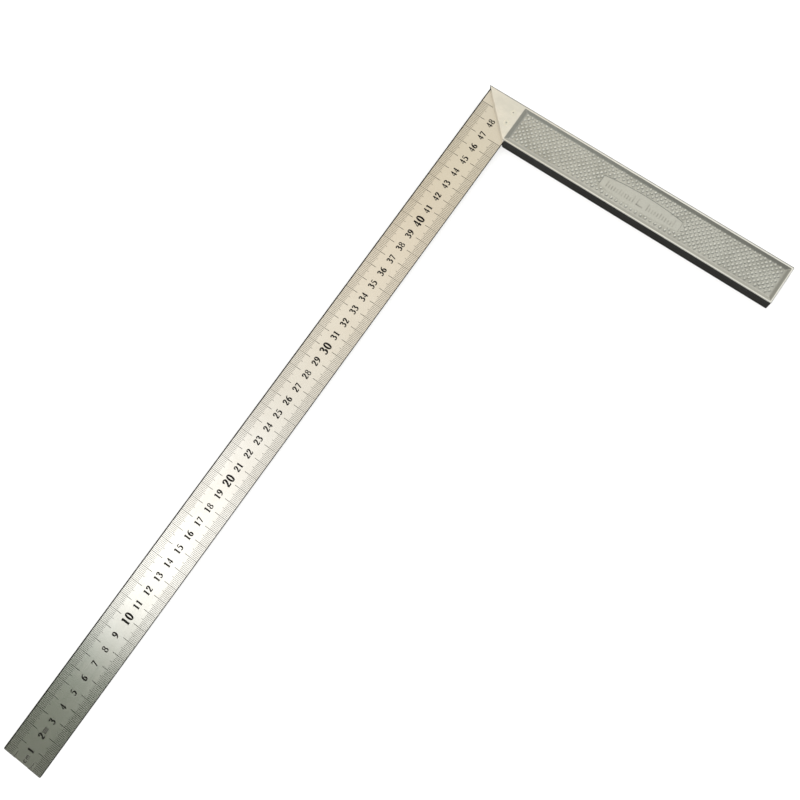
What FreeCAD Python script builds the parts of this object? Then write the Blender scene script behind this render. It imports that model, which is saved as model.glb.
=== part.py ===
"""Try square with a 50 cm graduated blade: a steel blade riveted into a cast alloy stock.

Millimetres. The square lies flat: +X runs along the blade, +Y along the stock and +Z up.
The origin is the square's outer corner, at the height of the stock's lower face.
"""

import FreeCAD
import Part
import os

# ---- driving dimensions -------------------------------------------------------------------

BLADE_LENGTH = 500.0      # outer corner to free end, the length of the printed scale
BLADE_WIDTH = 28.0
BLADE_THICKNESS = 1.2
BLADE_EDGE_BREAK = 0.2    # chamfer along the blade's long edges
BLADE_CORNER_RADIUS = 0.5  # rounding of the two free corners, seen from above

STOCK_LENGTH = 221.0      # outer corner to the far end
STOCK_WIDTH = 27.0
STOCK_HEIGHT = 11.0
STOCK_EDGE_BREAK = 0.35   # chamfer round both broad faces, except along the mitre
STOCK_CORNER_RADIUS = 0.6  # rounding of the far corners, seen from above

POCKET_DEPTH = 1.3        # recess of the textured panel in each broad face
POCKET_CORNER_RADIUS = 0.8
OUTER_RIM = 1.4           # rims left round the recess
INNER_RIM = 0.9
FAR_RIM = 1.0
OUTER_WALL_SLOPE = 2.1    # run of each sloped wall, seen from above
INNER_WALL_SLOPE = 2.8
NEAR_WALL_SLOPE = 3.0
FAR_WALL_SLOPE = 2.4

PLATE_DEPTH = 0.35        # smooth plate, sunk below the textured panel
PLATE_LENGTH = 56.5
PLATE_END_WIDTH = 6.6     # at its two short straight ends
PLATE_BULGE = 2.1         # how far each long side bows out at the middle
PLATE_WALL_SLOPE = 0.3
PLATE_CENTRE_X = 15.0
PLATE_CENTRE_Y = 122.5

RIVET_SHANK_RADIUS = 1.6
RIVET_HEAD_RADIUS = 2.2   # countersunk, flush with the cheek
RIVET_HEAD_DEPTH = 0.9
RIVET_DIMPLE_RADIUS = 0.55
RIVET_DIMPLE_DEPTH = 0.45
RIVET_FROM_PANEL = 4.6    # from the panel's near edge back towards the corner
RIVET_FIRST_X = 8.3
RIVET_SPACING = 8.0

MID_HEIGHT = STOCK_HEIGHT / 2
BLADE_BOTTOM = MID_HEIGHT - BLADE_THICKNESS / 2
POCKET_NEAR_Y = BLADE_WIDTH   # the recess starts level with the blade's inner edge
RIVETS = {
    "rivet_outer": (RIVET_FIRST_X, POCKET_NEAR_Y - RIVET_FROM_PANEL),
    "rivet_inner": (RIVET_FIRST_X + RIVET_SPACING, POCKET_NEAR_Y - RIVET_FROM_PANEL),
}


# ---- helpers ------------------------------------------------------------------------------

def point(x, y, z):
    return FreeCAD.Vector(x, y, z)


def edges_where(shape, test):
    """The edges whose every vertex passes the test."""
    return [edge for edge in shape.Edges if all(test(v.Point) for v in edge.Vertexes)]


def follows_mitre(edge):
    """True for an edge whose ends both lie on the mitre, from the outer corner to the inner one."""
    return all(abs(v.X * BLADE_WIDTH - v.Y * STOCK_WIDTH) < 1e-6 for v in edge.Vertexes)


def is_upright(edge):
    """True for a straight edge that runs along Z."""
    first, last = (v.Point for v in edge.Vertexes)
    return abs(first.x - last.x) < 1e-6 and abs(first.y - last.y) < 1e-6


def rectangle(x0, y0, x1, y1, z):
    corners = [point(x0, y0, z), point(x1, y0, z), point(x1, y1, z), point(x0, y1, z)]
    return Part.makePolygon(corners + corners[:1])


def turned_over(shape):
    """The same cut seen from the other broad face, mirrored about the blade's middle plane."""
    return shape.mirror(point(0, 0, MID_HEIGHT), point(0, 0, 1))


# ---- rivets -------------------------------------------------------------------------------

def rivet_body(x, y):
    """Shank with a countersunk head flush with each broad face, without its dimples."""
    top = STOCK_HEIGHT
    profile = [
        point(0, 0, 0),
        point(RIVET_HEAD_RADIUS, 0, 0),
        point(RIVET_SHANK_RADIUS, 0, RIVET_HEAD_DEPTH),
        point(RIVET_SHANK_RADIUS, 0, top - RIVET_HEAD_DEPTH),
        point(RIVET_HEAD_RADIUS, 0, top),
        point(0, 0, top),
        point(0, 0, 0),
    ]
    body = Part.Face(Part.makePolygon(profile)).revolve(point(0, 0, 0), point(0, 0, 1), 360)
    body.translate(point(x, y, 0))
    return body


def make_rivet(x, y):
    dimple = Part.makeCone(
        0, RIVET_DIMPLE_RADIUS, RIVET_DIMPLE_DEPTH, point(x, y, STOCK_HEIGHT - RIVET_DIMPLE_DEPTH)
    )
    return rivet_body(x, y).cut(dimple).cut(turned_over(dimple))


# ---- blade --------------------------------------------------------------------------------

def make_blade():
    strip = Part.makeBox(BLADE_LENGTH, BLADE_WIDTH, BLADE_THICKNESS, point(0, 0, BLADE_BOTTOM))
    free_corners = [
        edge for edge in edges_where(strip, lambda p: p.x > BLADE_LENGTH - 1e-6) if is_upright(edge)
    ]
    strip = strip.makeFillet(BLADE_CORNER_RADIUS, free_corners)
    long_edges = [
        edge for edge in strip.Edges
        if edge.Length > BLADE_LENGTH / 2 and not is_upright(edge)
    ]
    strip = strip.makeChamfer(BLADE_EDGE_BREAK, long_edges)
    for x, y in RIVETS.values():
        strip = strip.cut(rivet_body(x, y))
    return strip


# ---- stock --------------------------------------------------------------------------------

def stock_block():
    """The stock's outline, mitred from the outer corner to the inner one, with its other edges broken."""
    outline = [
        point(0, 0, 0),
        point(STOCK_WIDTH, BLADE_WIDTH, 0),
        point(STOCK_WIDTH, STOCK_LENGTH, 0),
        point(0, STOCK_LENGTH, 0),
        point(0, 0, 0),
    ]
    block = Part.Face(Part.makePolygon(outline)).extrude(point(0, 0, STOCK_HEIGHT))
    far_corners = [
        edge for edge in edges_where(block, lambda p: p.y > STOCK_LENGTH - 1e-6) if is_upright(edge)
    ]
    block = block.makeFillet(STOCK_CORNER_RADIUS, far_corners)
    broad_face_edges = edges_where(block, lambda p: p.z > STOCK_HEIGHT - 1e-6)
    broad_face_edges += edges_where(block, lambda p: p.z < 1e-6)
    return block.makeChamfer(STOCK_EDGE_BREAK, [edge for edge in broad_face_edges if not follows_mitre(edge)])


def panel_recess():
    """Sloped-wall recess in the upper broad face, with its four slanted corners rounded."""
    near, far = POCKET_NEAR_Y, STOCK_LENGTH - FAR_RIM
    outer, inner = OUTER_RIM, STOCK_WIDTH - INNER_RIM
    floor_z = STOCK_HEIGHT - POCKET_DEPTH
    mouth = rectangle(outer, near, inner, far, STOCK_HEIGHT)
    floor = rectangle(
        outer + OUTER_WALL_SLOPE, near + NEAR_WALL_SLOPE,
        inner - INNER_WALL_SLOPE, far - FAR_WALL_SLOPE, floor_z,
    )
    recess = Part.makeLoft([mouth, floor], True, True)
    slanted = [
        edge for edge in recess.Edges
        if abs(edge.Vertexes[0].Point.z - edge.Vertexes[1].Point.z) > POCKET_DEPTH / 2
    ]
    return recess.makeFillet(POCKET_CORNER_RADIUS, slanted)


def plate_outline(grow, z):
    """Barrel shape: two short straight ends along X, joined by two bowed sides along Y."""
    half_end = PLATE_END_WIDTH / 2 + grow
    half_length = PLATE_LENGTH / 2 + grow
    bowed = half_end + PLATE_BULGE
    x, y = PLATE_CENTRE_X, PLATE_CENTRE_Y
    low_x, high_x, low_y, high_y = x - half_end, x + half_end, y - half_length, y + half_length
    edges = [
        Part.LineSegment(point(low_x, low_y, z), point(high_x, low_y, z)),
        Part.Arc(point(high_x, low_y, z), point(x + bowed, y, z), point(high_x, high_y, z)),
        Part.LineSegment(point(high_x, high_y, z), point(low_x, high_y, z)),
        Part.Arc(point(low_x, high_y, z), point(x - bowed, y, z), point(low_x, low_y, z)),
    ]
    return Part.Wire([edge.toShape() for edge in edges])


def plate_recess():
    panel_z = STOCK_HEIGHT - POCKET_DEPTH
    return Part.makeLoft(
        [plate_outline(PLATE_WALL_SLOPE, panel_z), plate_outline(0, panel_z - PLATE_DEPTH)],
        True, True,
    )


def blade_slot():
    """The slot between the two cheeks, open at the outer face and at the mitre."""
    return Part.makeBox(STOCK_WIDTH, BLADE_WIDTH, BLADE_THICKNESS, point(0, 0, BLADE_BOTTOM))


def make_stock():
    stock = stock_block().cut(blade_slot())
    for recess in (panel_recess(), plate_recess()):
        stock = stock.cut(recess).cut(turned_over(recess))
    for x, y in RIVETS.values():
        stock = stock.cut(rivet_body(x, y))
    return stock


# ---- write one STEP file for each piece ---------------------------------------------------

def main():
    pieces = {"blade": make_blade(), "stock": make_stock()}
    for name, (x, y) in RIVETS.items():
        pieces[name] = make_rivet(x, y)
    os.makedirs("parts", exist_ok=True)
    for name, shape in pieces.items():
        solids = shape.Solids
        if len(solids) != 1 or not solids[0].isValid():
            raise RuntimeError(f"{name} is not one valid solid")
        solids[0].exportStep(f"parts/{name}.step")
        print(f"{name}: {solids[0].Volume:.1f} mm3")


main()
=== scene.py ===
"""Looks of the steel square ruler, laid out as an add-on: printed scale, cast grip, metal finishes, stage.

Metres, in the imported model's frame: +X runs from the outer corner along the blade, +Y along the stock
and +Z up. The CAD pieces stay as they are, and everything here is placed from their boxes.
"""

import math

import bpy
from bpy.props import FloatProperty, FloatVectorProperty, IntProperty, PointerProperty
from mathutils import Matrix, Vector


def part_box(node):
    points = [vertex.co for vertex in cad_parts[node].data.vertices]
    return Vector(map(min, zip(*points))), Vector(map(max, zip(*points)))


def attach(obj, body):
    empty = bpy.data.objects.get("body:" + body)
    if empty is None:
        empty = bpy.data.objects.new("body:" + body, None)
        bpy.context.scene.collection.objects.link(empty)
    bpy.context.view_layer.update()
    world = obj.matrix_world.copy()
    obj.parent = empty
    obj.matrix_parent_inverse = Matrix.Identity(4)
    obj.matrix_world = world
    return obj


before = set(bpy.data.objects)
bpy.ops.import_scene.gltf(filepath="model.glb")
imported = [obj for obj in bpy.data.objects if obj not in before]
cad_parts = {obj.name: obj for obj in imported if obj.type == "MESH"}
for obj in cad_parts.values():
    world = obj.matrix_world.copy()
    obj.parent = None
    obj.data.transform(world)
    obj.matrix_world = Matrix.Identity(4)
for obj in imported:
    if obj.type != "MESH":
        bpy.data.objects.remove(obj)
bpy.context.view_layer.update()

bl_info = {
    "name": "Steel square ruler",
    "version": (1, 0, 0),
    "blender": (4, 5, 0),
    "location": "3D View > Sidebar > Square ruler",
    "description": "Prints the scale, casts the grip and finishes the metal of a riveted try square",
    "category": "Object",
}

BLADE_LOW, BLADE_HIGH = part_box("blade")
STOCK_LOW, STOCK_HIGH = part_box("stock")
MID_Z = (BLADE_LOW.z + BLADE_HIGH.z) / 2
MM = 0.001

EDGE_SHADE_STRENGTH = 0.97                      # of the painted shade along an outer edge: a dark outline standing in for edge shadow and dark reflection
# Colour of that painted edge shade.
EDGE_SHADE_COLOUR = (0.02, 0.02, 0.018, 1.0)
UNIT_HEIGHT = 3.1 * MM
UNIT_FROM_END = 3.1 * MM                  # from the free end to the middle of the unit
UNIT_RISE = 0.4 * MM                      # towards the inner edge
END_LINE_INSET = 8.0 * MM                 # of the two short lines, from the blade's long edges
END_LINE_SPAN = (0.3 * MM, 4.2 * MM)      # from the free end
END_LINE_HALF_WIDTH = 0.18 * MM
SPACER_FROM_END = 22.2 * MM               # middle of the three small bars
SPACER_ROWS = (-0.9 * MM, 0.0, 0.9 * MM)
SPACER_HALF_LENGTH, SPACER_HALF_WIDTH = 1.8 * MM, 0.3 * MM

FLOOR_REACH = 6.0
LAMP_SIZE, LAMP_PLACE, LAMP_AIM = 1.4, (0.1, 0.5, 1.5), (0.2, 0.08, 0.0)
CARD_HEIGHT, CARD_LOW_Y, CARD_HIGH_Y = 1.0, -0.75, 0.45
CAMERA_PLACE = (0.2782, 0.1766, 0.5961)
CAMERA_ANGLES = (11.889, 4.019, 125.328)  # degrees


# ---- settings -----------------------------------------------------------------------------

def length(name, description, default):
    return FloatProperty(
        name=name, description=description, default=default, unit="LENGTH", subtype="DISTANCE", precision=5
    )


def colour(name, description, default):
    return FloatVectorProperty(
        name=name, description=description, default=default, size=3, subtype="COLOR", min=0.0, max=2.0
    )


class ScaleSettings(bpy.types.PropertyGroup):
    """The scale printed on both faces of the blade."""

    pitch: length("Mark pitch", "Distance from one mark to the next", 1.0 * MM)
    short_mark: length("Millimetre mark", "Length of a millimetre mark", 5.75 * MM)
    middle_mark: length("Five millimetre mark", "Length of every fifth mark", 6.9 * MM)
    long_mark: length("Centimetre mark", "Length of every tenth mark", 8.9 * MM)
    edge_gap: length("Edge gap", "Metal between the blade's edge and the marks", 0.3 * MM)
    line_width: length("Line width", "Width of one printed line", 0.20 * MM)
    long_widening: FloatProperty(
        name="Centimetre widening", description="How much wider every tenth mark is", default=1.5, min=1.0
    )
    ink_height: length("Ink height", "How far the ink stands above the steel", 0.012 * MM)
    outer_marks: IntProperty(
        name="Outer marks", description="Marks along the outer edge, with the one at zero", default=491, min=1
    )
    inner_marks: IntProperty(
        name="Inner marks", description="Marks along the inner edge, with the one at zero", default=471, min=1
    )
    last_numeral: IntProperty(
        name="Last numeral", description="Highest number that fits beside the stock", default=48, min=1
    )
    numeral_height: length("Numeral height", "Height of an ordinary numeral", 4.3 * MM)
    tens_height: length("Tens height", "Height of the numerals at 10, 20, 30 and 40", 5.6 * MM)
    single_shift: length("Single shift", "How far a single digit sits towards the free end", 1.4 * MM)


class GripSettings(bpy.types.PropertyGroup):
    """The recessed panel in both broad faces of the stock."""

    outer_rim: length("Outer rim", "Rim along the outer side of the panel", 1.4 * MM)
    inner_rim: length("Inner rim", "Rim along the inner side of the panel", 0.9 * MM)
    far_rim: length("Far rim", "Rim at the far end of the panel", 1.0 * MM)
    outer_slope: length("Outer wall slope", "Run of the wall along the outer rim", 2.1 * MM)
    inner_slope: length("Inner wall slope", "Run of the wall along the inner rim", 2.8 * MM)
    near_slope: length("Near wall slope", "Run of the wall nearest the corner", 3.0 * MM)
    far_slope: length("Far wall slope", "Run of the wall at the far end", 2.4 * MM)
    depth: length("Panel depth", "Depth of the panel below the broad face", 1.3 * MM)
    lattice: length("Lattice step", "Half the diagonal of the square lattice of dots", 1.754 * MM)
    dot_radius: length("Dot radius", "Radius of one cast dot", 1.05 * MM)
    dot_clearance: length("Dot clearance", "From a wall's foot to the middle of the nearest dot", 0.75 * MM)
    dot_rise: length("Dot rise", "Height of one cast dot above the panel", 0.45 * MM)
    plate_centre: FloatVectorProperty(
        name="Plate centre", description="Middle of the smooth plate, seen from above", size=2,
        default=(15.0 * MM, 122.5 * MM), unit="LENGTH", subtype="XYZ", precision=5,
    )
    plate_length: length("Plate length", "Length of the smooth plate", 56.5 * MM)
    plate_end: length("Plate end", "Width of the plate at its straight ends", 6.6 * MM)
    plate_bulge: length("Plate bulge", "How far each long side of the plate bows out", 2.1 * MM)
    plate_depth: length("Plate depth", "Depth of the plate below the panel", 0.35 * MM)
    relief: length("Relief height", "Height of the raised marks on the plate", 0.18 * MM)


class FinishSettings(bpy.types.PropertyGroup):
    """Colours of the metals and the ink."""

    steel: colour("Steel", "Satin stainless steel of the blade", (0.74, 0.725, 0.69))
    steel_warm: colour("Steel, handled", "Where hands have dulled the blade", (0.66, 0.62, 0.55))
    milled: colour("Milled alloy", "Rims, cheeks and side faces of the stock", (0.88, 0.875, 0.845))
    cast: colour("Cast alloy", "Recessed panel of the stock", (0.755, 0.765, 0.735))
    # cast_dark is a darker alloy tone: it mottles the cast skin and the dot sides, it is the colour of the
    # painted shade on the panel walls, between the dots and on the raised marks, and it darkens the smooth
    # plate.
    cast_dark: colour("Cast alloy, hollows", "Grime held between the dots", (0.36, 0.36, 0.33))
    ink: colour("Ink", "Black ink of the scale", (0.010, 0.009, 0.007))
    pale_ink: colour("Pale ink", "Grey ink of the unit and the small marks", (0.055, 0.052, 0.045))


class StageSettings(bpy.types.PropertyGroup):
    """Floor, light and camera, which aren't part of the ruler."""

    floor: colour("Floor", "Pale floor, which also glows a little like a light table", (0.48, 0.48, 0.475))
    key_power: FloatProperty(
        name="Key power", description="Power of the soft overhead light", default=8.5, min=0.0, unit="POWER"
    )
    sky: FloatProperty(name="Sky", description="Brightness of the pale surroundings", default=0.90, min=0.0)
    lens: FloatProperty(
        name="Lens", description="Focal length of the camera", default=44.8, min=1.0, unit="CAMERA"
    )


SETTINGS = {
    "ruler_scale": ScaleSettings,
    "ruler_grip": GripSettings,
    "ruler_finish": FinishSettings,
    "ruler_stage": StageSettings,
}


# ---- node helpers -------------------------------------------------------------------------

class Net:
    """Adds nodes to one tree and joins them."""

    def __init__(self, tree):
        self.tree = tree

    def add(self, kind, inputs=None, **values):
        node = self.tree.nodes.new(kind)
        for name, value in values.items():
            setattr(node, name, value)
        self.fill(node, inputs or {})
        return node

    def group(self, name, inputs):
        """One more copy of a finished group, inside this tree."""
        kind = "ShaderNodeGroup" if self.tree.type == "SHADER" else "GeometryNodeGroup"
        return self.add(kind, inputs, node_tree=bpy.data.node_groups[name]).outputs

    def fill(self, node, inputs):
        for key, value in inputs.items():
            self.feed(node.inputs[key], value)

    def feed(self, socket, value):
        if isinstance(value, bpy.types.Node):
            value = value.outputs[0]
        if isinstance(value, bpy.types.NodeSocket):
            self.tree.links.new(value, socket)
        else:
            socket.default_value = value

    def math(self, operation, *values):
        return self.add("ShaderNodeMath", dict(enumerate(values)), operation=operation).outputs[0]

    def fold(self, operation, values):
        result, *others = values
        for value in others:
            result = self.math(operation, result, value)
        return result

    def plus(self, *values):
        return self.fold("ADD", values)

    def minus(self, *values):
        return self.fold("SUBTRACT", values)

    def times(self, *values):
        return self.fold("MULTIPLY", values)

    def over(self, *values):
        return self.fold("DIVIDE", values)

    def least(self, *values):
        return self.fold("MINIMUM", values)

    def most(self, *values):
        return self.fold("MAXIMUM", values)

    def vector(self, operation, *values):
        return self.add(
            "ShaderNodeVectorMath", dict(enumerate(values)), operation=operation
        ).outputs["Vector"]

    def xyz(self, vector):
        return self.add("ShaderNodeSeparateXYZ", {0: vector}).outputs

    def join_xyz(self, x, y, z):
        return self.add("ShaderNodeCombineXYZ", {0: x, 1: y, 2: z}).outputs[0]

    def ramp(self, value, low, high, to_low=0.0, to_high=1.0):
        """Moves a value smoothly from one range to another, and stops at both ends."""
        node = self.add(
            "ShaderNodeMapRange",
            {"Value": value, "From Min": low, "From Max": high, "To Min": to_low, "To Max": to_high},
            interpolation_type="SMOOTHSTEP", clamp=True,
        )
        return node.outputs["Result"]

    def blend(self, factor, first, second):
        node = self.add("ShaderNodeMix", data_type="RGBA")
        for name, value in (("Factor_Float", factor), ("A_Color", first), ("B_Color", second)):
            socket = next(s for s in node.inputs if s.identifier == name)
            self.feed(socket, value)
        return next(s for s in node.outputs if s.identifier == "Result_Color")

    def noise(self, vector, scale, detail=2.0, roughness=0.5):
        given = {"Vector": vector, "Scale": scale, "Detail": detail, "Roughness": roughness}
        return self.add("ShaderNodeTexNoise", given).outputs["Fac"]


def socket_kind(value):
    """Socket type and default for one of a group's inputs, told from an example value."""
    if isinstance(value, int):
        return "NodeSocketInt"
    if isinstance(value, float):
        return "NodeSocketFloat"
    if isinstance(value, (tuple, Vector)):
        return "NodeSocketVector"
    return value


def start_tree(name, kind, inputs, outputs):
    """A node tree with named sockets. An input's value is its default, or its socket type."""
    tree = bpy.data.node_groups.new(name, kind)
    for label, value in inputs.items():
        socket = tree.interface.new_socket(label, in_out="INPUT", socket_type=socket_kind(value))
        if not isinstance(value, str):
            socket.default_value = value
    for label, socket_type in outputs.items():
        tree.interface.new_socket(label, in_out="OUTPUT", socket_type=socket_type)
    net = Net(tree)
    return net, net.add("NodeGroupInput").outputs, net.add("NodeGroupOutput").inputs


def solid_colour(value):
    return (*value[:3], 1.0)


# ---- shared effects: shader groups --------------------------------------------------------

def build_grain_group():
    """Drawn or milled grain: noise stretched along one direction, as a height and a tone."""
    net, given, out = start_tree(
        "metal_grain", "ShaderNodeTree",
        {"Vector": "NodeSocketVector", "Stretch": (60.0, 9000.0, 1.0), "Coarse": 0.25},
        {"Height": "NodeSocketFloat", "Tone": "NodeSocketFloat"},
    )
    along = net.vector("MULTIPLY", given["Vector"], given["Stretch"])
    fine = net.noise(along, 1.0, 3.0, 0.6)
    coarse_vector = net.vector("SCALE", along, (0.0, 0.0, 0.0))
    scale_node = coarse_vector.node
    net.feed(scale_node.inputs["Scale"], given["Coarse"])
    coarse = net.noise(coarse_vector, 1.0, 2.0, 0.5)
    both = net.plus(net.times(fine, 0.65), net.times(coarse, 0.35))
    net.feed(out["Height"], both)
    net.feed(out["Tone"], net.ramp(both, 0.36, 0.64))


def build_patches_group():
    """Soft uneven patches, from finger marks and haze."""
    net, given, out = start_tree(
        "soft_patches", "ShaderNodeTree",
        {"Vector": "NodeSocketVector", "Size": 0.02, "Low": 0.4, "High": 0.65}, {"Mask": "NodeSocketFloat"},
    )
    scale = net.over(1.0, given["Size"])
    noise = net.noise(given["Vector"], scale, 4.0, 0.62)
    net.feed(out["Mask"], net.ramp(noise, given["Low"], given["High"]))


def build_cast_group():
    """Skin of a pressure casting: fine grain with a few shallow pits."""
    net, given, out = start_tree(
        "cast_skin", "ShaderNodeTree", {"Vector": "NodeSocketVector", "Grain": 2600.0, "Pits": 700.0},
        {"Height": "NodeSocketFloat", "Tone": "NodeSocketFloat"},
    )
    grain = net.noise(given["Vector"], given["Grain"], 3.0, 0.6)
    cells = net.add("ShaderNodeTexVoronoi", {"Vector": given["Vector"], "Scale": given["Pits"]})
    pits = net.ramp(cells.outputs["Distance"], 0.05, 0.22)
    net.feed(out["Height"], net.times(grain, net.plus(0.6, net.times(pits, 0.4))))
    net.feed(out["Tone"], net.ramp(grain, 0.35, 0.65))


def build_edge_group():
    """Painted shade: a dark line just inside a rectangle's sides, seen from above, with its own width on each
    side, standing in for the shadow and dark reflection along a piece's edges.
    """
    net, given, out = start_tree(
        "edge_line", "ShaderNodeTree",
        {
            "Vector": "NodeSocketVector", "Low": (0.0, 0.0, 0.0), "High": (1.0, 1.0, 0.0),
            "Low widths": (0.0003, 0.0003, 0.0), "High widths": (0.0003, 0.0003, 0.0), "Break-up": 260.0,
        },
        {"Mask": "NodeSocketFloat"},
    )
    uneven = net.plus(0.75, net.times(
        net.noise(given["Vector"], given["Break-up"], 3.0, 0.6), 0.5
    ))
    from_low = net.xyz(net.vector("SUBTRACT", given["Vector"], given["Low"]))
    from_high = net.xyz(net.vector("SUBTRACT", given["High"], given["Vector"]))
    low_widths, high_widths = net.xyz(given["Low widths"]), net.xyz(given["High widths"])
    mask = None
    for distances, widths in ((from_low, low_widths), (from_high, high_widths)):
        for distance, width in ((distances[0], widths[0]), (distances[1], widths[1])):
            share = net.over(distance, net.times(width, uneven))
            near = net.ramp(share, 0.75, 1.0, 1.0, 0.0)
            mask = near if mask is None else net.most(mask, near)
    net.feed(out["Mask"], mask)


# ---- materials ----------------------------------------------------------------------------

def start_material(name):
    """A new material with its Principled shader and the piece's own coordinates."""
    material = bpy.data.materials.new(name)
    material.use_nodes = True
    net = Net(material.node_tree)
    shader = material.node_tree.nodes["Principled BSDF"]
    place = net.add("ShaderNodeTexCoord").outputs["Object"]
    return material, net, shader, place


def finish_metal(net, shader, tint, rough, height, strength, distance):
    """Joins a metal's colour, roughness and bump to its shader."""
    bump = net.add("ShaderNodeBump", {"Height": height, "Strength": strength, "Distance": distance})
    net.fill(shader, {"Base Color": tint, "Roughness": rough, "Metallic": 1.0, "Normal": bump})


def steel_material(finish):
    """Satin stainless steel, drawn along its length, a little duller where it is held."""
    material, net, shader, place = start_material("satin_steel")
    grain = net.group("metal_grain", {"Vector": place, "Stretch": (70.0, 11000.0, 11000.0)})
    haze = net.group("soft_patches", {"Vector": place, "Size": 0.055, "Low": 0.38, "High": 0.66})
    prints = net.group("soft_patches", {"Vector": place, "Size": 0.006, "Low": 0.5, "High": 0.72})
    # Painted shade: a near-black outline on the blade's edges and narrow side faces, standing in for shadow
    # and dark reflection.
    edge = net.group("edge_line", {
        "Vector": place, "Low": tuple(BLADE_LOW), "High": tuple(BLADE_HIGH),
        "Low widths": (0.001 * MM, 0.95 * MM, 0.0), "High widths": (0.15 * MM, 0.32 * MM, 0.0),
    })
    dulled = net.times(haze["Mask"], 0.3)
    dulled = net.plus(dulled, net.times(prints["Mask"], 0.12))
    tint = net.blend(dulled, solid_colour(finish.steel), solid_colour(finish.steel_warm))
    grained = net.blend(net.times(grain["Tone"], 0.1), tint, (0.86, 0.85, 0.82, 1.0))
    outlined = net.blend(net.times(edge["Mask"], EDGE_SHADE_STRENGTH), grained, EDGE_SHADE_COLOUR)
    rough = net.plus(0.175, net.times(haze["Mask"], 0.025))
    rough = net.plus(rough, net.times(grain["Tone"], 0.05))
    rough = net.plus(rough, net.times(prints["Mask"], 0.012))
    finish_metal(net, shader, outlined, rough, grain["Height"], 0.22, 0.012 * MM)
    return material


def alloy_material(finish, grip):
    """Cast alloy: milled bright on rims, cheeks and sides, left as cast inside the panel."""
    material, net, shader, place = start_material("cast_alloy")
    x, y, z = net.xyz(place)
    from_middle = net.math("ABSOLUTE", net.minus(z, MID_Z))
    sunk = net.ramp(
        from_middle, STOCK_HIGH.z - MID_Z - 0.05 * MM, STOCK_HIGH.z - MID_Z - 0.01 * MM, 1.0, 0.0
    )
    inside_x = net.times(
        net.math("GREATER_THAN", x, grip.outer_rim * 0.8),
        net.math("LESS_THAN", x, STOCK_HIGH.x - grip.inner_rim * 0.7),
    )
    inside_y = net.times(
        net.math("GREATER_THAN", y, BLADE_HIGH.y - 0.1 * MM),
        net.math("LESS_THAN", y, STOCK_HIGH.y - grip.far_rim * 0.8),
    )
    panel = net.times(sunk, net.times(inside_x, inside_y))
    skin = net.group("cast_skin", {"Vector": place})
    milling = net.group("metal_grain", {"Vector": place, "Stretch": (5200.0, 110.0, 5200.0)})
    haze = net.group("soft_patches", {"Vector": place, "Size": 0.018, "Low": 0.42, "High": 0.68})
    # Painted shade: a dark outline in the strip of the side faces next to each broad face, standing in for
    # shadow and dark reflection.
    edge = net.group("edge_line", {
        "Vector": place, "Low": tuple(STOCK_LOW), "High": tuple(STOCK_HIGH),
        "Low widths": (0.62 * MM, 0.001 * MM, 0.0), "High widths": (0.001 * MM, 0.12 * MM, 0.0),
    })
    near_face = net.ramp(from_middle, STOCK_HIGH.z - MID_Z - 0.6 * MM, STOCK_HIGH.z - MID_Z - 0.4 * MM)
    outlined = net.times(edge["Mask"], near_face, EDGE_SHADE_STRENGTH)
    panel_height = STOCK_HIGH.z - MID_Z - grip.depth
    on_floor = net.times(
        net.ramp(from_middle, panel_height + 0.02 * MM, panel_height + 0.2 * MM, 1.0, 0.0),
        net.ramp(from_middle, panel_height - 0.2 * MM, panel_height - 0.05 * MM),
    )
    cast_tint = net.blend(
        net.times(skin["Tone"], 0.2), solid_colour(finish.cast), solid_colour(finish.cast_dark)
    )
    # Painted shade on the panel floor between the dots, patchy in strength.
    painted_floor_shade = net.times(on_floor, net.plus(0.4, net.times(haze["Mask"], 0.35)))
    # Painted shade on the panel walls.
    on_wall = net.times(net.ramp(from_middle, panel_height + 0.1 * MM, panel_height + 0.4 * MM), 0.62)
    # The smooth plate is darkened about a third towards the darker alloy tone.
    on_plate = net.times(
        net.ramp(from_middle, panel_height - 0.25 * MM, panel_height, 1.0, 0.0), 0.34
    )
    # Painted shade on the floor and walls, and the darker plate, all blended towards the darker alloy tone.
    painted_shade_and_plate_tone = net.most(painted_floor_shade, on_wall, on_plate)
    cast_tint = net.blend(painted_shade_and_plate_tone, cast_tint, solid_colour(finish.cast_dark))
    milled_tint = net.blend(
        net.times(milling["Tone"], 0.16), solid_colour(finish.milled), (0.66, 0.65, 0.62, 1.0)
    )
    on_cheek = net.ramp(y, BLADE_HIGH.y, BLADE_HIGH.y + 1.5 * MM, 0.55, 0.10)
    milled_tint = net.blend(net.times(haze["Mask"], on_cheek), milled_tint, (0.68, 0.69, 0.66, 1.0))
    # The painted edge shade goes on over the milled tint.
    milled_tint = net.blend(outlined, milled_tint, EDGE_SHADE_COLOUR)
    milled_rough = net.plus(0.28, net.times(haze["Mask"], 0.04))
    cast_rough = net.plus(0.36, net.times(skin["Tone"], 0.12))
    rough = net.plus(
        net.times(cast_rough, panel), net.times(milled_rough, net.minus(1.0, panel))
    )
    cast_height = net.times(skin["Height"], panel, 2.4)
    milled_height = net.times(milling["Height"], 0.22, net.minus(1.0, panel))
    tint, height = (net.blend(panel, milled_tint, cast_tint), net.plus(cast_height, milled_height))
    finish_metal(net, shader, tint, rough, height, 0.35, 0.03 * MM)
    return material


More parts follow.
